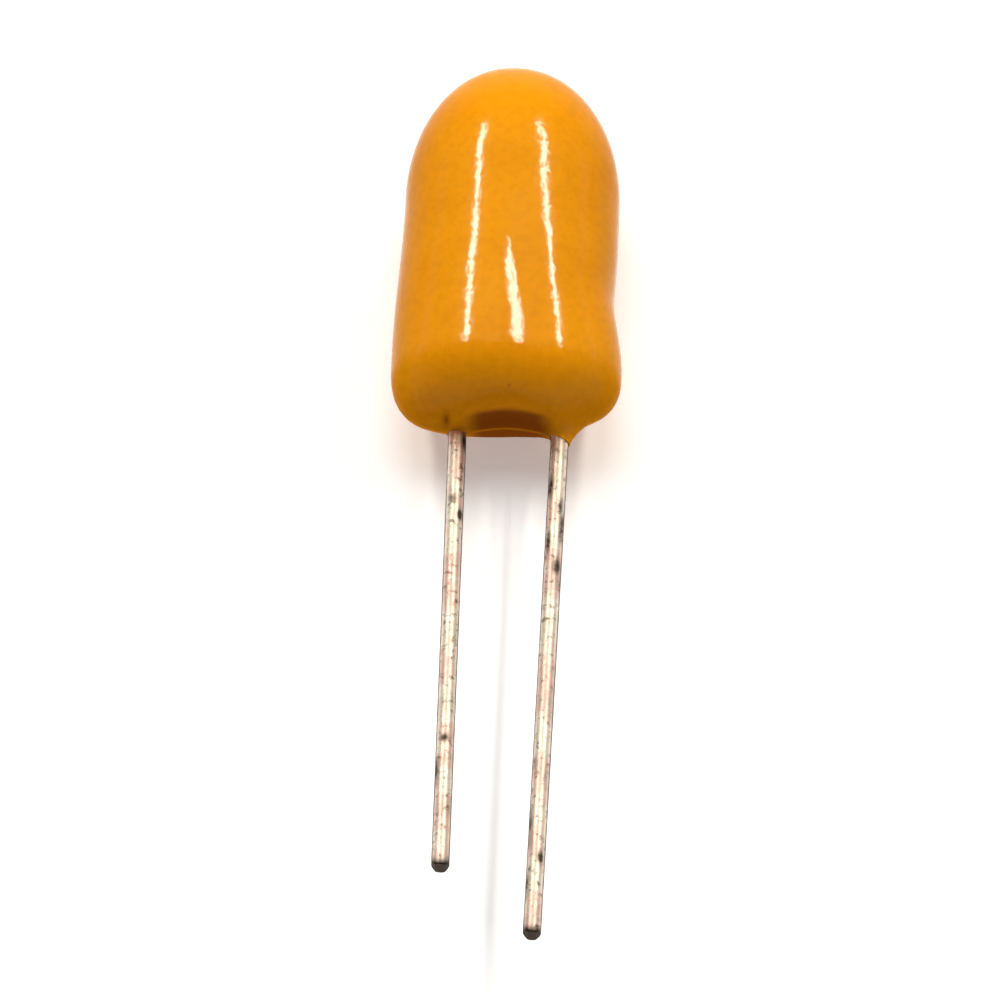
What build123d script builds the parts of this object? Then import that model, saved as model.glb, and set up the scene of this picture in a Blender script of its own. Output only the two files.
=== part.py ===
from build123d import *
from build123d import SkipClean
import math
import os

# Dipped radial-lead tantalum capacitor, lying on its belly with its leads level.
# Millimetres. +X runs across the two leads, +Y from the lead tips to the dome, +Z up.
# A place along the body is given as s: 0 where the leads leave the coat, growing towards the dome.
# Heights called z are measured from the axis of the sintered pellet.

# ---- epoxy coat -----------------------------------------------------------------------------
body_length = 11.0
dome_height = 4.0
dome_start = body_length - dome_height
half_thickness = 2.65          # over the pellet
belly_flat = 0.03              # depth of the small level flat that the part lies on
left_half_width = 2.88         # beside the pellet
left_flare = 0.20              # the left side widens by this much towards the leads
right_half_width = 2.94
right_flare = 0.23             # the right side widens below its waist
waist_depth = 0.06             # on the right, between the pellet and the positive lead's bend
waist_place = 4.0
waist_reach = 0.9
front_taper = 0.15             # thickness lost towards the leads, on the upper face
front_taper_start = 4.6
belly_taper = 1.22             # and on the face that it lies on
belly_taper_start = 3.6
section_power = 2.15           # 2 is an ellipse, more is squarer
belly_power = 3.0              # flatter under the pellet, where the part lies on the table
left_edge = 1.08               # rounding where the left side turns under at the lead end, across
right_edge = 1.40              # and the right side, whose corner is blunter
front_edge = 1.98              # the same rounding on the upper face, through the thickness
belly_edge = 0.97              # and on the belly
edge_length = 1.52             # the same rounding, along the body
valley_share = 0.062           # share of the thickness lost in the valley between the leads
valley_left = 0.42             # reach of the valley to the left of its middle
valley_right = 1.15            # and to the right
valley_start = 7.0             # on the upper face
belly_valley_start = 4.0       # on the belly
valley_end = 1.0
valley_high = 0.40             # x of the valley's middle where it starts
valley_low = 0.74              # and where it ends
web_half_width = 1.30          # the web that spans the two leads is set back between the lobes
web_rise = 0.26                # by this much at its middle
web_shoulder = 0.17            # and by this much half way out
ring_points = 24
side_rings = 8

# ---- leads ----------------------------------------------------------------------------------
lead_radius = 0.25
negative_x = -1.22             # where each lead leaves the coat
positive_x = 1.55
negative_length = 13.5         # from s = 0 to the tip
positive_length = 15.5
positive_lean = 0.9            # degrees, towards the other lead
weld_depth = 0.08              # how far the riser and the positive lead are pressed together
bend_start = -0.30             # the leads are straight up to here, inside their collars
positive_bend = 1.45           # bend radius of the positive lead, to run under the riser
positive_run = 0.50            # straight end of the positive lead, across the riser
negative_rise = 2.70           # the negative lead steps out to the pellet's side over this length
negative_top = 6.3             # and ends here, soldered along the pellet
tip_flat = 0.07                # half width of the blunt edge left by the cutters
tip_angle = 36                 # degrees between each cut face and the lead
collar_foot = 0.90             # radius of the coat's collar at its root, inside the body
collar_root = 0.70
collar_lip = 0.31              # and where it ends on the lead
negative_collar = 0.14         # how far each collar creeps down its lead
positive_collar = 0.32

# ---- pellet and its layers ------------------------------------------------------------------
pellet_x = 0.15
pellet_radius = 1.90
pellet_bottom = 2.87
pellet_length = 6.00
pellet_chamfer = 0.55
dioxide_thickness = 0.08
graphite_thickness = 0.05
silver_thickness = 0.06
solder_thickness = 0.14
graphite_margin = 0.35         # bare length left at the riser's end of the pellet
silver_margin = 0.50
solder_margin = 0.70
solder_bite = 0.05             # how far the negative lead is pressed into the solder
bead_radius = 0.36             # solder drawn round the negative lead
bead_start = 3.9
riser_radius = 0.20
riser_depth = 4.00             # length pressed into the pellet
riser_end = 0.85
washer_radius = 0.65
washer_thickness = 0.30

# ---- places worked out from the sizes above -------------------------------------------------
end_y = (positive_length - body_length) / 2
lead_z = weld_depth - riser_radius - lead_radius
lead_middle = (negative_x + positive_x) / 2
solder_skin = dioxide_thickness + graphite_thickness + silver_thickness + solder_thickness
bed_radius = pellet_radius + solder_skin + lead_radius - solder_bite
bed_x = pellet_x - math.sqrt(bed_radius**2 - lead_z**2)


def place(x, s, z):
    """Point of the finished part from a place in the body."""
    return Vector(x, s + end_y, z + half_thickness - belly_flat)


def ease(t):
    """Smooth step from 0 to 1."""
    t = min(max(t, 0), 1)
    return t * t * (3 - 2 * t)


def half_width(s, right, edge):
    """Half width of the coat at s, to the right or to the left of its axis."""
    if not right:
        flare = left_flare * ease((dome_start - s) / (dome_start - 2))
        return left_half_width + flare - left_edge * edge
    waist = waist_depth * math.exp(-(((s - waist_place) / waist_reach) ** 2))
    flare = right_flare * ease((waist_place - s) / 2.4)
    return right_half_width + flare - waist - right_edge * edge


def half_depth(s, front, edge):
    """Half thickness of the coat at s, above or below the pellet's axis."""
    if front:
        taper = front_taper * ease((front_taper_start - s) / front_taper_start)
        return half_thickness - taper - front_edge * edge
    taper = belly_taper * ease((belly_taper_start - s) / belly_taper_start)
    return half_thickness - taper - belly_edge * edge


def valley(x, s, front):
    """Share of the thickness left at x: a bell-shaped valley that deepens towards the leads."""
    top = valley_start if front else belly_valley_start
    grown = ease((top - s) / (top - valley_end))
    off_middle = x - valley_high - (valley_low - valley_high) * grown
    reach = valley_right if off_middle > 0 else valley_left
    return 1 - valley_share * grown * math.exp(-((off_middle / reach) ** 2))


def coat_point(angle, s, dome, edge):
    """Point of the coat's skin: a squarish oval, thinned by its valley.

    dome scales the oval down to the top of the dome, and edge runs from 0 on the side to 1 where
    the rounding meets the flat of the lead end.
    """
    c, d = math.cos(angle), math.sin(angle)
    front = d >= 0
    along = min(s, dome_start)
    power = section_power
    if not front:
        belly = ease((s - edge_length) / 2) * ease((body_length - s) / dome_height)
        power += (belly_power - section_power) * belly
    across = half_width(along, c >= 0, edge) * dome
    through = half_depth(along, front, edge) * dome
    x = math.copysign(across * abs(c) ** (2 / power), c)
    z = math.copysign(through * abs(d) ** (2 / power), d)
    return place(x, s, z * valley(x, s, front))


def coat_ring(s, dome=1.0, edge=0.0):
    """One closed section of the coat."""
    turns = [2 * math.pi * (i + 0.5) / ring_points for i in range(ring_points)]
    points = [coat_point(turn, s, dome, edge) for turn in turns]
    steps = [i / ring_points for i in range(ring_points + 1)]
    return Wire([Edge.make_spline(points, periodic=True, parameters=steps)])


def dome_ring(degrees):
    """Section of the dome at this height angle."""
    turn = math.radians(degrees)
    return coat_ring(dome_start + dome_height * math.sin(turn), dome=math.cos(turn))


def coat_outside():
    """The dipped body: the rounding of its flat lead end, the sides and the dome, in one loft."""
    rings = []
    for degrees in (90, 68, 46, 23):
        turn = math.radians(degrees)
        rings.append(coat_ring(edge_length * (1 - math.sin(turn)), edge=1 - math.cos(turn)))
    for i in range(side_rings):
        rings.append(coat_ring(edge_length + (dome_start - edge_length) * i / (side_rings - 1)))
    rings += [dome_ring(degrees) for degrees in (16, 32, 48, 64, 77, 86)]
    return Solid.make_loft(rings)


def web_hollow():
    """What the web between the leads leaves out of the lead end, through the thickness."""
    half, outer = web_half_width, 1.0
    with BuildPart() as hollow:
        with BuildSketch(Plane(place(lead_middle, 0, -half_thickness))):
            with BuildLine():
                rim = Spline((-half, -0.02), (-half / 2, web_shoulder), (0, web_rise),
                             (half / 2, web_shoulder), (half, -0.02))
                Polyline(rim @ 1, (half, -outer), (-half, -outer), rim @ 0)
            make_face()
        extrude(amount=2 * half_thickness)
    return hollow.part


def in_bands(solid, places):
    """The same solid with its skin divided across the body at these places."""
    for s in places:
        halves = split(solid, bisect_by=Plane(place(0, s, 0), z_dir=(0, 1, 0)), keep=Keep.BOTH)
        lower, upper = halves.solids()
        solid = lower + upper
    return solid


def lead_frame(x, lean):
    """Plane at a lead's exit, level with both leads: local x across the lead, local y along it."""
    slope = math.radians(lean)
    across = Vector(math.cos(slope), -math.sin(slope), 0)
    return Plane(origin=place(x, 0, lead_z), x_dir=across, z_dir=(0, 0, 1))


def wire_along(path):
    """Round lead wire along a path."""
    return sweep(Plane(origin=path @ 0, z_dir=path % 0) * Circle(lead_radius), path=path)


def cut_tip(lead, frame, length):
    """Two slanting faces left by the cutters, with a blunt edge between them."""
    slant = math.radians(tip_angle)
    for side in (-1, 1):
        corner = frame.from_local_coords(Vector(side * tip_flat, -length, 0))
        outward = frame.x_dir * (side * math.cos(slant)) - frame.y_dir * math.sin(slant)
        lead = split(lead, bisect_by=Plane(origin=corner, z_dir=outward), keep=Keep.BOTTOM)
    return lead


def positive_lead(frame):
    """Straight lead whose end turns in and crosses under the riser."""
    foot = frame.from_local_coords(Vector(0, -positive_length, 0))
    bend = frame.from_local_coords(Vector(0, bend_start, 0))
    with BuildLine() as path:
        shank = Line(foot, bend)
        elbow = JernArc(shank @ 1, shank % 1, positive_bend, 90 + positive_lean)
        Line(elbow @ 1, elbow @ 1 - Vector(positive_run, 0, 0))
    return cut_tip(wire_along(path.line), frame, positive_length)


def negative_lead(frame):
    """Straight lead that steps out to the pellet's side and runs along it."""
    step = frame.origin.X - bed_x
    turn = 2 * math.degrees(math.atan(step / negative_rise))
    radius = negative_rise / (2 * math.sin(math.radians(turn)))
    foot = frame.from_local_coords(Vector(0, -negative_length, 0))
    bend = frame.from_local_coords(Vector(0, bend_start, 0))
    with BuildLine() as path:
        shank = Line(foot, bend)
        out = JernArc(shank @ 1, shank % 1, radius, turn)
        back = JernArc(out @ 1, out % 1, radius, -turn)
        Line(back @ 1, place(bed_x, negative_top, lead_z))
    return cut_tip(wire_along(path.line), frame, negative_length)


def collar(frame, length):
    """Concave collar where the coat creeps down a lead, turned about the lead."""
    with BuildPart() as turned:
        with BuildSketch(frame):
            with BuildLine():
                flare = Spline(
                    (collar_foot, collar_root),
                    (collar_lip, -length),
                    tangents=((-1, -1), (0, -1)),
                )
                Polyline(flare @ 1, (0, -length), (0, collar_root), flare @ 0)
            make_face()
        revolve(axis=Axis(frame.origin, frame.y_dir))
    return turned.part


def pellet_body(growth):
    """The pellet's form, a chamfered cylinder, grown by a layer's thickness all round."""
    radius, length = pellet_radius + growth, pellet_length + 2 * growth
    middle = Plane(origin=place(pellet_x, pellet_bottom + pellet_length / 2, 0), z_dir=(0, 1, 0))
    with BuildPart(middle) as body:
        Cylinder(radius, length)
        chamfer(body.edges().filter_by(GeomType.CIRCLE), pellet_chamfer + growth * (2 - math.sqrt(2)))
    return body.part


def rod(x, s, z, radius, length):
    """Cylinder along the body, from s towards the dome."""
    start = Plane(origin=place(x, s, z), z_dir=(0, 1, 0))
    return start * Cylinder(radius, length, align=(Align.CENTER, Align.CENTER, Align.MIN))


def layer(inner, outer, margin):
    """Cup between two sizes of the pellet, open at the riser's end by its margin."""
    cup = pellet_body(outer) - pellet_body(inner)
    rim = Plane(origin=place(0, pellet_bottom + margin, 0), z_dir=(0, 1, 0))
    return split(cup, bisect_by=rim, keep=Keep.TOP)


positive_frame = lead_frame(positive_x, positive_lean)
negative_frame = lead_frame(negative_x, 0)
positive = positive_lead(positive_frame)
negative = negative_lead(negative_frame)

# riser: pressed into the pellet's end, notched where the positive lead is welded across it
riser_length = pellet_bottom + riser_depth - riser_end
riser = rod(pellet_x, riser_end, 0, riser_radius, riser_length)
pellet = pellet_body(0) - riser
washer = rod(pellet_x, pellet_bottom - washer_thickness, 0, washer_radius, washer_thickness) - riser
riser -= positive

# layers on the pellet, each seated on the one before
graphite_inner = dioxide_thickness
silver_inner = graphite_inner + graphite_thickness
solder_inner = silver_inner + silver_thickness
dioxide = pellet_body(graphite_inner) - pellet_body(0) - washer - riser
graphite = layer(graphite_inner, silver_inner, graphite_margin)
silver = layer(silver_inner, solder_inner, silver_margin)
bead = rod(bed_x, bead_start, lead_z, bead_radius, negative_top - bead_start)
solder = layer(solder_inner, solder_skin, solder_margin) + (bead - pellet_body(solder_inner))
solder -= negative

# coat: the dipped body with a collar on each lead, moulded round everything inside it; its bands
# are kept apart, so that the tight curves of the lead end don't set the facets of the plain sides
with SkipClean():
    coat = split(coat_outside(), bisect_by=Plane.XY, keep=Keep.TOP)
    coat = in_bands(coat, (edge_length, dome_start)) - web_hollow()
    coat += collar(positive_frame, positive_collar)
    coat += collar(negative_frame, negative_collar)
    for inside in (positive, negative, riser, pellet, washer, dioxide, graphite, silver, solder):
        coat -= inside

nodes = {
    "epoxy_coat": coat,
    "positive_lead": positive,
    "negative_lead": negative,
    "riser_wire": riser,
    "anode_slug": pellet,
    "riser_washer": washer,
    "manganese_dioxide_layer": dioxide,
    "graphite_layer": graphite,
    "silver_layer": silver,
    "solder_coat": solder,
}

os.makedirs("parts", exist_ok=True)
for name, shape in nodes.items():
    export_step(shape, f"parts/{name}.step")
    print(f"{name}: {shape.volume:.3f} mm3")
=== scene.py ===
import math

import bpy
import numpy as np
from mathutils import Matrix, Vector


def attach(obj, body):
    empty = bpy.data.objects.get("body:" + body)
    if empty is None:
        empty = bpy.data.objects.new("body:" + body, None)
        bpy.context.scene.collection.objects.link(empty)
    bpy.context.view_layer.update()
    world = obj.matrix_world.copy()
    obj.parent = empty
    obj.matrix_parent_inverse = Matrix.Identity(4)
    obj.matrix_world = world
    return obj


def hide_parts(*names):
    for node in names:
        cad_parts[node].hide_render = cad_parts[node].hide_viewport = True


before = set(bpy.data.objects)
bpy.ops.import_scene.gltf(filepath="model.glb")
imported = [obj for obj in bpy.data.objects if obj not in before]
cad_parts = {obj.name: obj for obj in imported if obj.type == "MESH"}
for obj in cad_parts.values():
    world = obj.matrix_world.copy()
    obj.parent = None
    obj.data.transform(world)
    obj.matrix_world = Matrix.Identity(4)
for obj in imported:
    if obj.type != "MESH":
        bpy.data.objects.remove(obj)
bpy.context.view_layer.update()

mm = 0.001
micron = 0.000001
draws = np.random.default_rng(47)
lengthSpread = (0.8, 1.3)   # each wave's own length over the stated one


# ease: a smooth step, 3t^2 - 2t^3 with t held between 0 and 1
def ease(t):
    t = np.clip(t, 0, 1)
    return t * t * (3 - 2 * t)


# waves: the mean of sines in random directions, each of about the given wavelength in mm, so it
# stays between -1 and 1
def waves(x, y, z, wavelength, count):
    total = np.zeros_like(x)
    for _ in range(count):
        way = draws.normal(size=3)
        way *= 2 * math.pi / (wavelength * np.linalg.norm(way) * draws.uniform(*lengthSpread))
        total += np.sin(way[0] * x + way[1] * y + way[2] * z + draws.uniform(0, 2 * math.pi))
    return total / count


# gridNormals: cross product of the differences along and around a closed grid, made unit length
def gridNormals(points):
    around = np.roll(points, -1, axis=1) - np.roll(points, 1, axis=1)
    along = np.gradient(points, axis=0)
    normal = np.cross(around, along)
    return normal / np.maximum(np.linalg.norm(normal, axis=2, keepdims=True), 1e-12)


# closedGrid: rows of points round a form become a mesh of quads, with a fan to one point at each
# end
def closedGrid(name, points, startPole, endPole):
    rows, columns = points.shape[:2]
    row, column = np.meshgrid(np.arange(rows - 1), np.arange(columns), indexing="ij")
    after = (column + 1) % columns
    quads = np.stack([row * columns + column, row * columns + after,
                      (row + 1) * columns + after, (row + 1) * columns + column], axis=2)
    first, last = rows * columns, rows * columns + 1
    ring = np.arange(columns)
    following = (ring + 1) % columns
    lastRow = (rows - 1) * columns
    startFan = np.stack([np.full(columns, first), following, ring], axis=1)
    endFan = np.stack([np.full(columns, last), lastRow + ring, lastRow + following], axis=1)
    faces = quads.reshape(-1, 4).tolist() + startFan.tolist() + endFan.tolist()
    corners = np.concatenate([points.reshape(-1, 3), [startPole], [endPole]]) * mm
    mesh = bpy.data.meshes.new(name)
    mesh.from_pydata(corners.tolist(), [], faces)
    mesh.shade_smooth()
    mesh.update()
    piece = bpy.data.objects.new(name, mesh)
    bpy.context.scene.collection.objects.link(piece)
    return piece


# the epoxy coat: the same form as the solid, with its collars and its skin, in mm
coat = {
    "length": 11.0, "domeHeight": 4.0, "endY": 2.25,
    "halfThickness": 2.65, "bellyFlat": 0.03,
    "leftHalfWidth": 2.88, "leftFlare": 0.20, "leftFlareEnd": 2,
    "rightHalfWidth": 2.94, "rightFlare": 0.23, "rightFlareReach": 2.4,
    "waistDepth": 0.06, "waistPlace": 4.0, "waistReach": 0.9,
    "frontTaper": 0.15, "frontTaperStart": 4.6,
    "bellyTaper": 1.22, "bellyTaperStart": 3.6,
    "sectionPower": 2.15, "bellyPower": 3.0, "bellyReach": 2,
    "edgeWidth": 1.08, "frontEdge": 1.98, "bellyEdge": 0.97, "edgeLength": 1.52,
    "valleyShare": 0.050, "valleyLeft": 0.42, "valleyRight": 1.00,
    "valleyStart": 6.5, "bellyValleyStart": 4.5, "valleyEnd": 3.4,
    "spreadStart": 4.4, "spreadEnd": 1.2, "valleySpread": 0.45, "valleyDeepen": 0.15,
    "valleyHigh": 0.30, "valleyLow": 0.72,
    "webHalfWidth": 1.32, "webRise": 0.20, "webSoft": 0.07, "webSoftGrowth": 3, "webEnd": 3,
    "webRound": 1.3, "webHollow": 0.06, "hollowMiddle": 0.25, "hollowReach": 0.42,
    "webLedge": -0.42, "ledgeReach": 0.12,
    "rightLift": 0.28, "liftReach": 2.6, "liftFrom": 1.2, "liftAcross": 1.4, "leadMiddle": 0.165,
    "dullFrom": 1.50, "dullFade": 0.45,     # the skin towards the leads is duller
    "columns": 360, "endRows": 46, "edgeRows": 44, "sideRows": 100, "domeRows": 78,
    "endHole": 0.02,        # share of the lead end's width left to its middle point
    "domeCap": 86,          # degrees, where the dome is closed
    "slowWaves": 0.005,     # mm, long unevenness of the dip
    "slowLength": 4.5, "slowCount": 7,
    "skinWaves": 0.0012,    # mm, orange peel
    "skinLength": 0.55, "skinCount": 12, "skinContrast": 3,
}
leadZ = -0.37               # height of the leads over the pellet's axis
negativeX, positiveX = -1.22, 1.55
positiveLean = 0.9          # degrees, towards the other lead

# the collar on each lead: its flare reaches from the skin in to its lip on the wire
collars = [
    {"x": negativeX, "lean": 0.0, "reach": 0.40, "lip": 0.270,
     "length": 0.05, "slant": 0.0, "outward": -1},
    {"x": positiveX, "lean": positiveLean, "reach": 0.80, "lip": 0.270,
     "length": 0.17, "slant": 0.12, "outward": 1},
]
collarForm = {
    "end": 1.2,             # skin further from the lead end than this is left alone
    "flareShare": 0.66,     # the rest of the skin closes on the wire's middle, inside it
    "tuck": 0.05,
}


# coatSkin: a squarish oval |x/a|^p + |z/b|^p = 1 at each place s along the body, thinned by a
# bell-shaped valley; dome, edge and share scale the oval as the form closes at its ends. Between
# the leads the end is set back to a web, hollow down to a ledge below the leads
def coatSkin(turn, s, dome, edge, share):
    c, d = np.cos(turn), np.sin(turn)
    domeStart = coat["length"] - coat["domeHeight"]
    along = np.minimum(s, domeStart)
    widened = ease((domeStart - along) / (domeStart - coat["leftFlareEnd"]))
    left = coat["leftHalfWidth"] + coat["leftFlare"] * widened
    waist = coat["waistDepth"] * np.exp(-(((along - coat["waistPlace"]) / coat["waistReach"]) ** 2))
    flare = coat["rightFlare"] * ease((coat["waistPlace"] - along) / coat["rightFlareReach"])
    right = coat["rightHalfWidth"] + flare - waist
    across = (np.where(c >= 0, right, left) - coat["edgeWidth"] * edge) * dome * share
    belly = ease((s - coat["edgeLength"]) / coat["bellyReach"])
    belly = belly * ease((coat["length"] - s) / coat["domeHeight"])
    power = coat["sectionPower"] + (coat["bellyPower"] - coat["sectionPower"]) * belly * (d < 0)
    x = np.sign(c) * across * np.abs(c) ** (2 / power)
    front = coat["frontTaper"] * ease((coat["frontTaperStart"] - along) / coat["frontTaperStart"])
    under = coat["bellyTaper"] * ease((coat["bellyTaperStart"] - along) / coat["bellyTaperStart"])
    depth = coat["halfThickness"] - np.where(d >= 0, front, under)
    through = (depth - np.where(d >= 0, coat["frontEdge"], coat["bellyEdge"]) * edge) * dome * share
    z = np.sign(d) * through * np.abs(d) ** (2 / power)
    valleyTop = np.where(d < 0, coat["bellyValleyStart"], coat["valleyStart"])
    grown = ease((valleyTop - s) / (valleyTop - coat["valleyEnd"]))
    spread = ease((coat["spreadStart"] - s) / (coat["spreadStart"] - coat["spreadEnd"]))
    offMiddle = x - coat["valleyHigh"] - (coat["valleyLow"] - coat["valleyHigh"]) * spread
    leftReach = coat["valleyLeft"] * (1 + coat["valleySpread"] * spread)
    valleyReach = np.where(offMiddle < 0, leftReach, coat["valleyRight"])
    sunk = coat["valleyShare"] * (1 + coat["valleyDeepen"] * spread ** 2) * grown
    z = z * (1 - sunk * np.exp(-((offMiddle / valleyReach) ** 2)))
    lift = coat["rightLift"] * ease((x - coat["liftFrom"]) / coat["liftAcross"])
    y = s + lift * np.maximum(1 - s / coat["liftReach"], 0) ** 2
    off = np.minimum(np.abs(x - coat["leadMiddle"]) / coat["webHalfWidth"], 1)
    web = np.cos(off * math.pi / 2) ** coat["webRound"]
    hollow = np.exp(-(((z - coat["hollowMiddle"]) / coat["hollowReach"]) ** 2))
    hollow *= ease((z - coat["webLedge"]) / coat["ledgeReach"])
    setBack = web * (coat["webRise"] + coat["webHollow"] * hollow)
    soft = coat["webSoft"] * ease(web * coat["webSoftGrowth"])
    blend = 0.5 * (y + setBack + np.sqrt((y - setBack) ** 2 + soft ** 2 + 1e-12))
    y = np.where(s < coat["webEnd"], blend, y)
    return np.stack([x, y, z], axis=-1)


# pullCollar: round a lead, skin at distance r moves onto a quarter-ellipse flare, so that it ends
# on the wire; the flare is longer on its outer side by the slant
def pullCollar(points, collar):
    lean = math.tan(math.radians(collar["lean"]))
    dx = points[..., 0] - collar["x"] - lean * np.minimum(points[..., 1], 0)
    dz = points[..., 2] - leadZ
    r = np.hypot(dx, dz)
    near = points[..., 1] < collarForm["end"]
    t = np.where(near, np.clip(1 - r / collar["reach"], 0, 1), 0)
    flareShare = collarForm["flareShare"]
    swing = np.minimum(t / flareShare, 1) * math.pi / 2
    past = np.clip((t - flareShare) / (1 - flareShare), 0, 1)
    ring = collar["lip"] + (collar["reach"] - collar["lip"]) * (1 - np.sin(swing))
    ring = np.where(past > 0, collar["lip"] * (1 - past), ring)
    ring = np.where(t > 0, ring, r)
    unit = np.maximum(r, 1e-9)
    side = collar["outward"] * dx / unit
    drop = (collar["length"] + collar["slant"] * side) * (1 - np.cos(swing))
    drop = drop - collarForm["tuck"] * past
    level = ease(t / flareShare)
    y = points[..., 1] * (1 - level) - drop
    moved = points.copy()
    moved[..., 0] = points[..., 0] + dx / unit * (ring - r) - lean * (y - points[..., 1]) * (t > 0)
    moved[..., 2] = points[..., 2] + dz / unit * (ring - r)
    moved[..., 1] = np.where(t > 0, y, points[..., 1])
    return moved


# painted shade on the coat, in the web between the leads and under it and in the crease beside the
# negative lead, and one real dark speck; places are x and z for the crease, and x, s and z for the
# speck
shadeAndSpeckPlaces = {
    "webReach": 1.36, "webSides": 2, "webTop": 0.78, "webFade": 0.42,
    "webDepth": 1.10, "depthFade": 0.5, "ledgeReach": 0.05, "ledgeUnshaded": 0.5,
    "crease": (-1.52, 0.30), "creaseReach": (0.10, 0.34),
    "creaseDepth": 0.60, "creaseFade": 0.4, "creaseShare": 0.9,
    "speck": (0.16, 0.31, 1.71), "speckReach": 0.045, "speckRim": 1.5,
}


# share of painted shade, 1 in the web between the leads and under it, less along the ledge, and in
# the crease beside the negative lead, and of one real dark speck above the web, each fading to 0
# round them
def shadeAndSpeckShare(points):
    x, s, z = points[..., 0], points[..., 1], points[..., 2]
    off = np.abs(x - coat["leadMiddle"]) / shadeAndSpeckPlaces["webReach"]
    web = ease((1 - off) * shadeAndSpeckPlaces["webSides"]) * ease((shadeAndSpeckPlaces["webTop"] - z) / shadeAndSpeckPlaces["webFade"])
    web *= ease((shadeAndSpeckPlaces["webDepth"] - s) / shadeAndSpeckPlaces["depthFade"])
    # the painted shade is weaker along the ledge below the leads, which stays lighter
    ledge = np.exp(-(((z - coat["webLedge"]) / shadeAndSpeckPlaces["ledgeReach"]) ** 2))
    web *= 1 - shadeAndSpeckPlaces["ledgeUnshaded"] * ledge
    alongX = (x - shadeAndSpeckPlaces["crease"][0]) / shadeAndSpeckPlaces["creaseReach"][0]
    alongZ = (z - shadeAndSpeckPlaces["crease"][1]) / shadeAndSpeckPlaces["creaseReach"][1]
    crease = np.exp(-(alongX ** 2) - alongZ ** 2)
    crease = crease * ease((shadeAndSpeckPlaces["creaseDepth"] - s) / shadeAndSpeckPlaces["creaseFade"])
    away = np.linalg.norm(points - np.array(shadeAndSpeckPlaces["speck"]), axis=-1)
    speck = ease((shadeAndSpeckPlaces["speckReach"] * shadeAndSpeckPlaces["speckRim"] - away) / shadeAndSpeckPlaces["speckReach"])
    return np.maximum(np.maximum(web, shadeAndSpeckPlaces["creaseShare"] * crease), speck)


# makeCoat: rings over the lead end, its rounding, the sides and the dome, each point then sunk by
# the waves w as depth (1 - w)/2 for the slow ones and depth (1 - 3w) for the orange peel
def makeCoat():
    shares = np.linspace(coat["endHole"], 1, coat["endRows"])
    edges = np.radians(np.linspace(90, 0, coat["edgeRows"] + 1))[1:]
    domeStart = coat["length"] - coat["domeHeight"]
    sides = np.linspace(coat["edgeLength"], domeStart, coat["sideRows"] + 1)[1:]
    domes = np.radians(np.linspace(0, coat["domeCap"], coat["domeRows"] + 1))[1:]
    s = np.concatenate([shares * 0, coat["edgeLength"] * (1 - np.sin(edges)), sides,
                        domeStart + coat["domeHeight"] * np.sin(domes)])
    dome = np.concatenate([shares * 0 + 1, edges * 0 + 1, sides * 0 + 1, np.cos(domes)])
    edge = np.concatenate([shares * 0 + 1, 1 - np.cos(edges), sides * 0, domes * 0])
    share = np.concatenate([shares, edges * 0 + 1, sides * 0 + 1, domes * 0 + 1])
    turn = -np.linspace(0, 2 * math.pi, coat["columns"], endpoint=False)
    points = coatSkin(turn[None, :], s[:, None], dome[:, None], edge[:, None], share[:, None])
    x, y, z = points[..., 0], points[..., 1], points[..., 2]
    slow = waves(x, y, z, coat["slowLength"], coat["slowCount"])
    fine = waves(x, y, z, coat["skinLength"], coat["skinCount"])
    sink = coat["slowWaves"] * (0.5 - 0.5 * slow)
    sink += coat["skinWaves"] * (1 - fine * coat["skinContrast"])
    points -= gridNormals(points) * sink[..., None]
    # painted shade in the web and the crease, and the real speck, taken before the collars move the
    # skin
    shadeAndSpeck = np.concatenate([shadeAndSpeckShare(points).ravel(), [0, 0]]).astype(np.float32)
    for collar in collars:
        points = pullCollar(points, collar)
    floor = coat["bellyFlat"] - coat["halfThickness"]
    points[..., 2] = np.maximum(points[..., 2], floor)
    points += [0, coat["endY"], -floor]
    startPole, endPole = points[0].mean(axis=0), points[-1].mean(axis=0)
    shadeAndSpeck[-2] = shadeAndSpeck[0]
    piece = closedGrid("dipped_coat", points, startPole, endPole)
    piece.data.attributes.new("shadeAndSpeck", "FLOAT", "POINT").data.foreach_set("value", shadeAndSpeck)
    dullShare = ease((coat["dullFrom"] - s) / coat["dullFade"])
    dull = np.concatenate([np.repeat(dullShare, coat["columns"]), [1, 0]]).astype(np.float32)
    piece.data.attributes.new("dull", "FLOAT", "POINT").data.foreach_set("value", dull)
    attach(piece, "root")
    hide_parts("epoxy_coat")
    return piece


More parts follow.
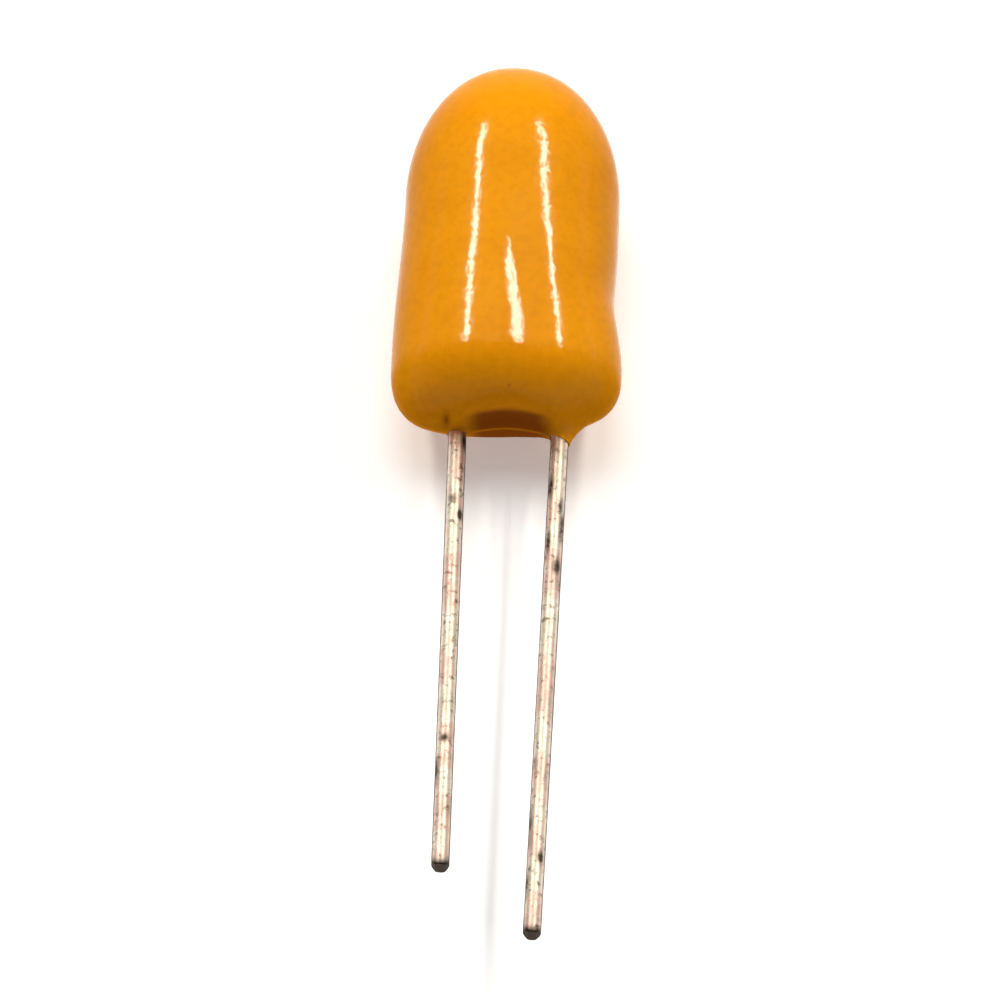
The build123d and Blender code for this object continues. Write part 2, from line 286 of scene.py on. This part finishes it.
# the leads: round wire carried along each lead's path, with cut tips, in mm
leads = {
    "radius": 0.25, "bendStart": -0.30, "columns": 72, "step": 0.045,
    # the wire's sides, as seen from above, get painted shade; the spots are its own dark marks
    "cutDarkReach": 0.30, "edgeShadeFrom": 0.84, "edgeShade": 2.2, "spotDark": 1.4,
    "wear": 0.006, "wearLength": 0.9, "wearCount": 10,
    "bevelFade": 1.2, "capHole": 0.06, "capRings": 12,
    "positive": {"x": positiveX, "lean": positiveLean, "length": 15.5, "bend": 1.45, "run": 0.50,
                 "tipFlat": 0.10, "tipAngle": 60,
                 "spots": [(1.7, 140, 0.35, 26), (2.3, 60, 0.22, 22), (3.0, 35, 0.45, 28),
                           (3.4, 130, 0.30, 20), (4.2, 62, 0.25, 25), (4.7, 20, 0.30, 22),
                           (12.2, 150, 0.50, 20), (13.2, 60, 0.18, 22), (14.0, 150, 0.40, 18)]},
    "negative": {"x": negativeX, "lean": 0.0, "length": 13.5, "rise": 2.70, "top": 6.3,
                 "bedX": -2.25, "tipFlat": 0.13, "tipAngle": 52,
                 "spots": [(0.35, 25, 0.32, 34), (2.15, 100, 0.13, 26), (2.65, 50, 0.16, 20),
                           (9.6, 95, 0.12, 26), (10.6, 150, 0.40, 20)]},
}


# arcPoints: points on a circle's arc from a start point and heading, turning left by an angle
def arcPoints(start, heading, radius, angle):
    sign = math.copysign(1, angle)
    count = max(int(radius * abs(angle) / leads["step"]), 8)
    turned = np.linspace(0, angle, count + 1)[1:]
    centre = start + sign * radius * np.array([-math.sin(heading), math.cos(heading)])
    beam = heading + turned - sign * math.pi / 2
    return centre + radius * np.stack([np.cos(beam), np.sin(beam)], axis=1), heading + angle


# linePoints: evenly spaced points from a start point along a heading
def linePoints(start, heading, length, step):
    count = max(int(length / step), 2)
    way = np.array([math.cos(heading), math.sin(heading)])
    return start + np.linspace(0, length, count + 1)[1:, None] * way


# leadPath: up from the tip, then a quarter turn under the riser, or a double bend whose two arcs of
# radius rise / (2 sin turn) step out to the pellet's side
def leadPath(lead):
    heading = math.radians(90 - lead["lean"])
    way = np.array([math.cos(heading), math.sin(heading)])
    leave = np.array([lead["x"], coat["endY"]])
    tip = leave - way * lead["length"]
    shank = lead["length"] + leads["bendStart"]
    points = np.concatenate([[tip], linePoints(tip, heading, shank, leads["step"])])
    if "bend" in lead:
        arc, heading = arcPoints(points[-1], heading, lead["bend"], math.pi - heading)
        line = linePoints(arc[-1], heading, lead["run"], leads["step"])
        return np.concatenate([points, arc, line])
    step = lead["x"] - lead["bedX"]
    turn = 2 * math.atan(step / lead["rise"])
    radius = lead["rise"] / (2 * math.sin(turn))
    out, heading = arcPoints(points[-1], heading, radius, turn)
    back, heading = arcPoints(out[-1], heading, radius, -turn)
    length = lead["top"] + coat["endY"] - back[-1][1]
    return np.concatenate([points, out, back, linePoints(back[-1], heading, length, leads["step"])])


# spotShare: 1 at the middle of each dark spot, fading over its half length and half width, where a
# spot is its distance from the coat, its angle round the wire and those two reaches
def spotShare(lead, far, turn):
    total = np.zeros((len(far), len(turn)))
    for away, angle, longReach, wideReach in lead["spots"]:
        along = (lead["length"] - far[:, None] - away) / longReach
        around = (turn[None, :] - math.radians(angle)) / math.radians(wideReach)
        total = np.maximum(total, leads["spotDark"] * np.exp(-(along ** 2) - around ** 2))
    return total


# makeLead: a circle carried along the path; at the tip each point slides back onto two slanting
# cuts, and the cut closes with smaller and smaller circles
def makeLead(name, lead):
    path = leadPath(lead)
    columns, radius = leads["columns"], leads["radius"]
    turn = np.linspace(0, 2 * math.pi, columns, endpoint=False)
    ahead = np.gradient(path, axis=0)
    ahead /= np.linalg.norm(ahead, axis=1, keepdims=True)
    across = np.stack([ahead[:, 1], -ahead[:, 0]], axis=1)
    far = np.concatenate([[0], np.cumsum(np.linalg.norm(np.diff(path, axis=0), axis=1))])
    slope = 1 / math.tan(math.radians(lead["tipAngle"]))
    rim = np.maximum(np.abs(radius * np.cos(turn)) - lead["tipFlat"], 0) * slope
    slide = rim[None, :] * (1 - ease(far / leads["bevelFade"]))[:, None]
    worn = waves(np.cos(turn)[None, :] * radius + 0 * slide, far[:, None] + 0 * slide,
                 np.sin(turn)[None, :] * radius + 0 * slide, leads["wearLength"],
                 leads["wearCount"])
    ring = radius - leads["wear"] * (0.5 - 0.5 * worn)
    x = path[:, 0, None] + across[:, 0, None] * ring * np.cos(turn) + ahead[:, 0, None] * slide
    y = path[:, 1, None] + across[:, 1, None] * ring * np.cos(turn) + ahead[:, 1, None] * slide
    z = ring * np.sin(turn)[None, :]
    skin = np.stack([x, y, z], axis=-1)
    shrink = np.linspace(leads["capHole"], 1, leads["capRings"])[:-1]
    capRing = ring[0] * shrink[:, None]
    back = np.maximum(np.abs(capRing * np.cos(turn)) - lead["tipFlat"], 0) * slope
    capX = path[0, 0] + across[0, 0] * capRing * np.cos(turn) + ahead[0, 0] * back
    capY = path[0, 1] + across[0, 1] * capRing * np.cos(turn) + ahead[0, 1] * back
    capZ = capRing * np.sin(turn)
    cap = np.stack([capX, capY, capZ], axis=-1)
    points = np.concatenate([cap, skin])
    height = leadZ + coat["halfThickness"] - coat["bellyFlat"]
    points[..., 2] += height
    tip = np.array([path[0, 0], path[0, 1], height])
    end = np.array([path[-1, 0], path[-1, 1], height])
    piece = closedGrid(name, points, tip, end)
    # the cut faces, and the skin up to 0.3 mm behind them, go near black
    fade = np.repeat(ease((leads["cutDarkReach"] - far) / leads["cutDarkReach"]), columns)
    cut = np.concatenate([np.ones(len(cap) * columns), fade, [1, 0]]).astype(np.float32)
    piece.data.attributes.new("cut", "FLOAT", "POINT").data.foreach_set("value", cut)
    # painted shade along the wire's two sides as seen from above, with the real dark spots in the
    # same attribute
    edge = ease((np.abs(np.cos(turn)) - leads["edgeShadeFrom"]) / (1 - leads["edgeShadeFrom"]))
    dark = np.maximum(leads["edgeShade"] * edge[None, :], spotShare(lead, far, turn))
    side = np.concatenate([np.tile(edge, len(cap)), dark.ravel(), [0, 0]]).astype(np.float32)
    piece.data.attributes.new("side", "FLOAT", "POINT").data.foreach_set("value", side)
    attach(piece, "root")
    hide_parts(name.replace("_wire", "_lead"))
    return piece


# newMaterial: a new node material, with its tree and its main shader
def newMaterial(name):
    material = bpy.data.materials.new(name)
    material.use_nodes = True
    tree = material.node_tree
    return material, tree, tree.nodes["Principled BSDF"]


# addNode: a new node, whose values go to its inputs or else to its settings
def addNode(tree, kind, **values):
    node = tree.nodes.new(kind)
    for key, value in values.items():
        if key in node.inputs:
            node.inputs[key].default_value = value
        else:
            setattr(node, key, value)
    return node


# noiseNode: noise in the piece's own coordinates, its scale per metre
def noiseNode(tree, scale, detail=2.0, roughness=0.5):
    node = addNode(tree, "ShaderNodeTexNoise", Scale=scale, Detail=detail, Roughness=roughness)
    place = addNode(tree, "ShaderNodeTexCoord")
    tree.links.new(place.outputs["Object"], node.inputs["Vector"])
    return node


# rampNode: a source turned into colours between stops of place and colour
def rampNode(tree, source, stops):
    node = addNode(tree, "ShaderNodeValToRGB")
    elements = node.color_ramp.elements
    while len(elements) < len(stops):
        elements.new(0.5)
    for element, (place, colour) in zip(elements, stops):
        element.position = place
        element.color = (*colour, 1)
    tree.links.new(source, node.inputs["Fac"])
    return node


# blendNode: first and second mixed by share, where each is a socket or a set value
def blendNode(tree, share, first, second, kind="MIX"):
    node = addNode(tree, "ShaderNodeMix", data_type="RGBA", blend_type=kind)
    sockets = (node.inputs[0], node.inputs[6], node.inputs[7])
    for value, socket in zip((share, first, second), sockets):
        if isinstance(value, bpy.types.NodeSocket):
            tree.links.new(value, socket)
        else:
            socket.default_value = value if isinstance(value, float) else (*value, 1)
    return node.outputs[2]


# rangeNode: low + source * (high - low)
def rangeNode(tree, source, low, high):
    node = addNode(tree, "ShaderNodeMapRange")
    node.inputs["To Min"].default_value = low
    node.inputs["To Max"].default_value = high
    tree.links.new(source, node.inputs["Value"])
    return node.outputs["Result"]


# bumpNode: a normal bent by the slope of height * distance, on top of an earlier normal
def bumpNode(tree, height, strength, distance, normal=None):
    node = addNode(tree, "ShaderNodeBump", Strength=strength, Distance=distance)
    tree.links.new(height, node.inputs["Height"])
    if normal is not None:
        tree.links.new(normal, node.inputs["Normal"])
    return node.outputs["Normal"]


# the epoxy's looks: noise scales per metre, ramp stops as place and colour, gloss over facing
epoxy = {
    "broadScale": 300, "broadStops": [(0.35, (0.74, 0.26, 0.002)), (0.65, (0.81, 0.30, 0.003))],
    "fineScale": 4200, "fineStops": [(0.36, (0.86, 0.84, 0.80)), (0.56, (1, 1, 1))],
    # the last colour on the line below is the painted shade of the web and the crease, and the real
    # speck's colour
    "fineShare": 0.5, "shadeAndSpeck": (0.30, 0.072, 0.003),
    "grainScale": 9000, "grainBump": 3 * micron, "peelScale": 2600, "peelBump": 3 * micron,
    "roughness": (0.08, 0.15), "ior": 1.5,
    "facing": (0.20, 0.36), "gloss": (0.50, 0.025), "dullGloss": 0.12,
}


# epoxyMaterial: mottled orange, with painted shade in the web between the leads and in the crease
# beside one, a real dark speck, and gloss that falls from the facing view to the slanting one and
# where the skin is dull
def epoxyMaterial():
    material, tree, shader = newMaterial("orangeEpoxy")
    broad = rampNode(tree, noiseNode(tree, epoxy["broadScale"], 2).outputs["Fac"],
                     epoxy["broadStops"])
    fine = rampNode(tree, noiseNode(tree, epoxy["fineScale"], 3, 0.6).outputs["Fac"],
                    epoxy["fineStops"])
    colour = blendNode(tree, epoxy["fineShare"], broad.outputs["Color"], fine.outputs["Color"],
                       "MULTIPLY")
    # painted shade in the web and the crease, and the real speck, darken the base colour
    shadeAndSpeck = addNode(tree, "ShaderNodeAttribute", attribute_name="shadeAndSpeck")
    colour = blendNode(tree, shadeAndSpeck.outputs["Fac"], colour, epoxy["shadeAndSpeck"])
    tree.links.new(colour, shader.inputs["Base Color"])
    grain = noiseNode(tree, epoxy["grainScale"], 0)
    rough = rangeNode(tree, grain.outputs["Fac"], *epoxy["roughness"])
    tree.links.new(rough, shader.inputs["Roughness"])
    peel = noiseNode(tree, epoxy["peelScale"], 1)
    normal = bumpNode(tree, peel.outputs["Fac"], 1.0, epoxy["peelBump"])
    normal = bumpNode(tree, grain.outputs["Fac"], 1.0, epoxy["grainBump"], normal)
    tree.links.new(normal, shader.inputs["Normal"])
    shader.inputs["IOR"].default_value = epoxy["ior"]
    slant = addNode(tree, "ShaderNodeLayerWeight", Blend=0.5)
    gloss = addNode(tree, "ShaderNodeMapRange")
    for end, facing, level in zip(("Min", "Max"), epoxy["facing"], epoxy["gloss"]):
        gloss.inputs["From " + end].default_value = facing
        gloss.inputs["To " + end].default_value = level
    tree.links.new(slant.outputs["Facing"], gloss.inputs["Value"])
    dull = addNode(tree, "ShaderNodeAttribute", attribute_name="dull")
    kept = addNode(tree, "ShaderNodeMath", operation="MULTIPLY")
    tree.links.new(gloss.outputs["Result"], kept.inputs[0])
    tree.links.new(rangeNode(tree, dull.outputs["Fac"], 1.0, epoxy["dullGloss"]), kept.inputs[1])
    tree.links.new(kept.outputs[0], shader.inputs["Specular IOR Level"])
    return material


# the wire's looks: patches and spots of its tin, painted shade in streaks along its sides, and its
# cut tips
wire = {
    "patchScale": 900,
    "patchStops": [(0.30, (0.76, 0.67, 0.55)), (0.44, (0.88, 0.79, 0.67)),
                   (0.54, (0.85, 0.61, 0.53)), (0.70, (0.62, 0.51, 0.43))],
    "spotScale": 5200, "spotStops": [(0.33, (0.16, 0.12, 0.10)), (0.46, (1, 1, 1))],
    "spotShare": 0.8,
    # the last colour on the line below is the painted shade on the wire's sides, and its real
    # spots' colour
    "streakScale": 2600, "streaks": (-0.9, 2.6), "side": (0.09, 0.065, 0.05),
    "cut": (0.03, 0.02, 0.013),
    "roughScale": 3000, "roughness": (0.38, 0.60), "bump": 12 * micron,
}


# wireMaterial: tin in patches with dark spots, painted shade in streaks on its sides, and dark on
# its cuts
def wireMaterial():
    material, tree, shader = newMaterial("tinnedWire")
    patches = rampNode(tree, noiseNode(tree, wire["patchScale"], 3, 0.6).outputs["Fac"],
                       wire["patchStops"])
    spots = rampNode(tree, noiseNode(tree, wire["spotScale"], 4, 0.7).outputs["Fac"],
                     wire["spotStops"])
    colour = blendNode(tree, wire["spotShare"], patches.outputs["Color"], spots.outputs["Color"],
                       "MULTIPLY")
    # painted shade along the sides, broken into streaks, together with the real spots
    side = addNode(tree, "ShaderNodeAttribute", attribute_name="side")
    streaks = noiseNode(tree, wire["streakScale"], 4, 0.7)
    dark = addNode(tree, "ShaderNodeMath", operation="MULTIPLY", use_clamp=True)
    tree.links.new(side.outputs["Fac"], dark.inputs[0])
    tree.links.new(rangeNode(tree, streaks.outputs["Fac"], *wire["streaks"]), dark.inputs[1])
    colour = blendNode(tree, dark.outputs[0], colour, wire["side"])
    cut = addNode(tree, "ShaderNodeAttribute", attribute_name="cut")
    colour = blendNode(tree, cut.outputs["Fac"], colour, wire["cut"])
    tree.links.new(colour, shader.inputs["Base Color"])
    shader.inputs["Metallic"].default_value = 1
    grain = noiseNode(tree, wire["roughScale"], 3, 0.6)
    rough = rangeNode(tree, grain.outputs["Fac"], *wire["roughness"])
    tree.links.new(rough, shader.inputs["Roughness"])
    normal = bumpNode(tree, grain.outputs["Fac"], 1.0, wire["bump"])
    tree.links.new(normal, shader.inputs["Normal"])
    return material


# the hidden pieces' looks, two colours mixed by one noise
hiddenFinishes = {
    "anode_slug": {"dark": (0.06, 0.058, 0.06), "pale": (0.10, 0.097, 0.10), "metal": 1.0,
                   "roughness": (0.55, 0.75), "scale": 9000, "bump": 10 * micron},
    "riser_wire": {"dark": (0.14, 0.14, 0.155), "pale": (0.20, 0.20, 0.215), "metal": 1.0,
                   "roughness": (0.20, 0.35), "scale": 4000, "bump": 2 * micron},
    "riser_washer": {"dark": (0.78, 0.78, 0.74), "pale": (0.86, 0.86, 0.83), "metal": 0.0,
                     "roughness": (0.45, 0.60), "scale": 3000, "bump": 3 * micron},
    "manganese_dioxide_layer": {"dark": (0.003, 0.003, 0.003), "pale": (0.008, 0.007, 0.006),
                                "metal": 0.0, "roughness": (0.75, 0.90), "scale": 7000,
                                "bump": 10 * micron},
    "graphite_layer": {"dark": (0.010, 0.010, 0.012), "pale": (0.020, 0.020, 0.022), "metal": 0.0,
                       "roughness": (0.45, 0.65), "scale": 6000, "bump": 4 * micron},
    "silver_layer": {"dark": (0.42, 0.41, 0.39), "pale": (0.52, 0.51, 0.48), "metal": 1.0,
                     "roughness": (0.50, 0.70), "scale": 8000, "bump": 5 * micron},
    "solder_coat": {"dark": (0.38, 0.38, 0.39), "pale": (0.48, 0.48, 0.49), "metal": 1.0,
                    "roughness": (0.30, 0.50), "scale": 1800, "bump": 10 * micron},
}


# hiddenMaterial: dark and pale mixed by noise, which also sets roughness and bump
def hiddenMaterial(name, finish):
    material, tree, shader = newMaterial(name + "_finish")
    noise = noiseNode(tree, finish["scale"], 3, 0.6)
    colour = rampNode(tree, noise.outputs["Fac"], [(0.35, finish["dark"]), (0.65, finish["pale"])])
    tree.links.new(colour.outputs["Color"], shader.inputs["Base Color"])
    rough = rangeNode(tree, noise.outputs["Fac"], *finish["roughness"])
    tree.links.new(rough, shader.inputs["Roughness"])
    normal = bumpNode(tree, noise.outputs["Fac"], 1.0, finish["bump"])
    tree.links.new(normal, shader.inputs["Normal"])
    shader.inputs["Metallic"].default_value = finish["metal"]
    return material


# dress: one material in place of all that a piece has
def dress(piece, material):
    piece.data.materials.clear()
    piece.data.materials.append(material)


# the studio, in metres, watts and degrees
studio = {
    "azimuth": 1.95, "elevation": 60, "distance": 1.00, "frameWidth": 0.027, "sensor": 36,
    "near": 0.01, "far": 20, "target": (-0.0000138, 0.0005531, 0.001641),
    "stripSide": 0.516,     # how far out each strip stands, as a share of its height
    "stripHeight": 0.50, "stripNear": 0.02, "stripFar": 0.60,
    "leftWidth": 0.038, "rightWidth": 0.046, "leftPower": 1.80, "rightPower": 2.10,
    "stripColour": (1, 0.94, 0.82),
    "softAt": (-0.02, 0.15, 0.67), "softSize": 0.34, "softPower": 2.10,
    "fill": 0.11,           # the world's strength as light
    "overhead": 0.10,       # the ceiling's brightness in reflections
    "ceiling": (0.02, 0.45),    # heights of view between which reflections darken to it
    "table": 0.92, "tableGlow": 0.30, "tableHalf": 1.5, "tableRoughness": 0.7, "tableGloss": 0.1,
}


# shownRays: 1 for camera, glossy and transmission rays, 0 for the rest
def shownRays(tree):
    path = addNode(tree, "ShaderNodeLightPath")
    total = path.outputs["Is Camera Ray"]
    for name in ("Is Glossy Ray", "Is Transmission Ray"):
        node = addNode(tree, "ShaderNodeMath", operation="ADD", use_clamp=True)
        tree.links.new(total, node.inputs[0])
        tree.links.new(path.outputs[name], node.inputs[1])
        total = node.outputs[0]
    return total


# makeFloor: a pale square table, which glows a little where shownRays is 1
def makeFloor():
    mesh = bpy.data.meshes.new("floor")
    half = studio["tableHalf"]
    corners = [(-half, -half, 0), (half, -half, 0), (half, half, 0), (-half, half, 0)]
    mesh.from_pydata(corners, [], [(0, 1, 2, 3)])
    floor = bpy.data.objects.new("floor", mesh)
    bpy.context.scene.collection.objects.link(floor)
    material, tree, shader = newMaterial("paleTable")
    table = studio["table"]
    shader.inputs["Base Color"].default_value = (table, table, table, 1)
    shader.inputs["Roughness"].default_value = studio["tableRoughness"]
    shader.inputs["Specular IOR Level"].default_value = studio["tableGloss"]
    shader.inputs["Emission Color"].default_value = (1, 1, 1, 1)
    glow = addNode(tree, "ShaderNodeMath", operation="MULTIPLY")
    tree.links.new(shownRays(tree), glow.inputs[0])
    glow.inputs[1].default_value = studio["tableGlow"]
    tree.links.new(glow.outputs[0], shader.inputs["Emission Strength"])
    dress(floor, material)


# makeLamp: an area lamp at a place, facing the origin, with its length along lengthWay
def makeLamp(name, at, width, length, power, lengthWay):
    data = bpy.data.lights.new(name, "AREA")
    data.shape = "RECTANGLE"
    data.size, data.size_y = width, length
    data.energy = power
    lamp = bpy.data.objects.new(name, data)
    back = Vector(at).normalized()
    side = Vector(lengthWay).cross(back).normalized()
    up = back.cross(side)
    turned = Matrix((side, up, back)).transposed().to_4x4()
    lamp.matrix_world = Matrix.Translation(at) @ turned
    bpy.context.scene.collection.objects.link(lamp)
    return lamp


# makeStudio: two strips and one soft lamp; the world is even as light, and in reflections it
# darkens towards the ceiling
def makeStudio():
    turn = Matrix.Rotation(math.radians(studio["azimuth"]), 3, "Z")
    middle = (studio["stripNear"] + studio["stripFar"]) / 2
    length = studio["stripFar"] - studio["stripNear"]
    for name, side in (("left", -1), ("right", 1)):
        at = turn @ Vector((side * studio["stripSide"] * studio["stripHeight"], middle,
                            studio["stripHeight"]))
        strip = makeLamp(name + "Strip", at, studio[name + "Width"], length, studio[name + "Power"],
                         turn @ Vector((0, 1, 0)))
        strip.data.color = studio["stripColour"]
    size = studio["softSize"]
    soft = makeLamp("softLamp", turn @ Vector(studio["softAt"]), size, size, studio["softPower"],
                    turn @ Vector((0, 1, 0)))
    soft.visible_glossy = False
    world = bpy.data.worlds.new("studio")
    world.use_nodes = True
    bpy.context.scene.world = world
    tree = world.node_tree
    background = tree.nodes["Background"]
    background.inputs["Color"].default_value = (1, 1, 1, 1)
    place = addNode(tree, "ShaderNodeTexCoord")
    split = addNode(tree, "ShaderNodeSeparateXYZ")
    tree.links.new(place.outputs["Generated"], split.inputs["Vector"])
    ceiling = addNode(tree, "ShaderNodeMapRange", interpolation_type="SMOOTHSTEP")
    for end, height, value in zip(("Min", "Max"), studio["ceiling"], (1, studio["overhead"])):
        ceiling.inputs["From " + end].default_value = height
        ceiling.inputs["To " + end].default_value = value
    tree.links.new(split.outputs["Z"], ceiling.inputs["Value"])
    level = addNode(tree, "ShaderNodeMix", data_type="FLOAT")
    tree.links.new(shownRays(tree), level.inputs["Factor"])
    level.inputs[2].default_value = studio["fill"]
    tree.links.new(ceiling.outputs["Result"], level.inputs[3])
    tree.links.new(level.outputs[0], background.inputs["Strength"])


# makeCamera: a long lens, whose focal length is sensor * distance / frame width
def makeCamera():
    data = bpy.data.cameras.new("camera")
    data.sensor_width = studio["sensor"]
    data.lens = studio["sensor"] * studio["distance"] / studio["frameWidth"]
    data.clip_start = studio["near"]
    data.clip_end = studio["far"]
    camera = bpy.data.objects.new("camera", data)
    bpy.context.scene.collection.objects.link(camera)
    turn, rise = math.radians(studio["azimuth"]), math.radians(studio["elevation"])
    back = Vector((math.sin(turn) * math.cos(rise), -math.cos(turn) * math.cos(rise),
                   math.sin(rise)))
    camera.location = Vector(studio["target"]) + back * studio["distance"]
    camera.rotation_euler = back.to_track_quat("Z", "Y").to_euler()
    bpy.context.scene.camera = camera


coatPiece = makeCoat()
print("coat made")
wirePieces = [makeLead("positive_wire", leads["positive"]),
              makeLead("negative_wire", leads["negative"])]
print("leads made")
dress(coatPiece, epoxyMaterial())
tinnedWire = wireMaterial()
for piece in wirePieces:
    dress(piece, tinnedWire)
for name, finish in hiddenFinishes.items():
    dress(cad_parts[name], hiddenMaterial(name, finish))
print("materials given")
makeFloor()
makeStudio()
makeCamera()
bpy.context.scene.view_settings.view_transform = "Standard"
print("studio ready")
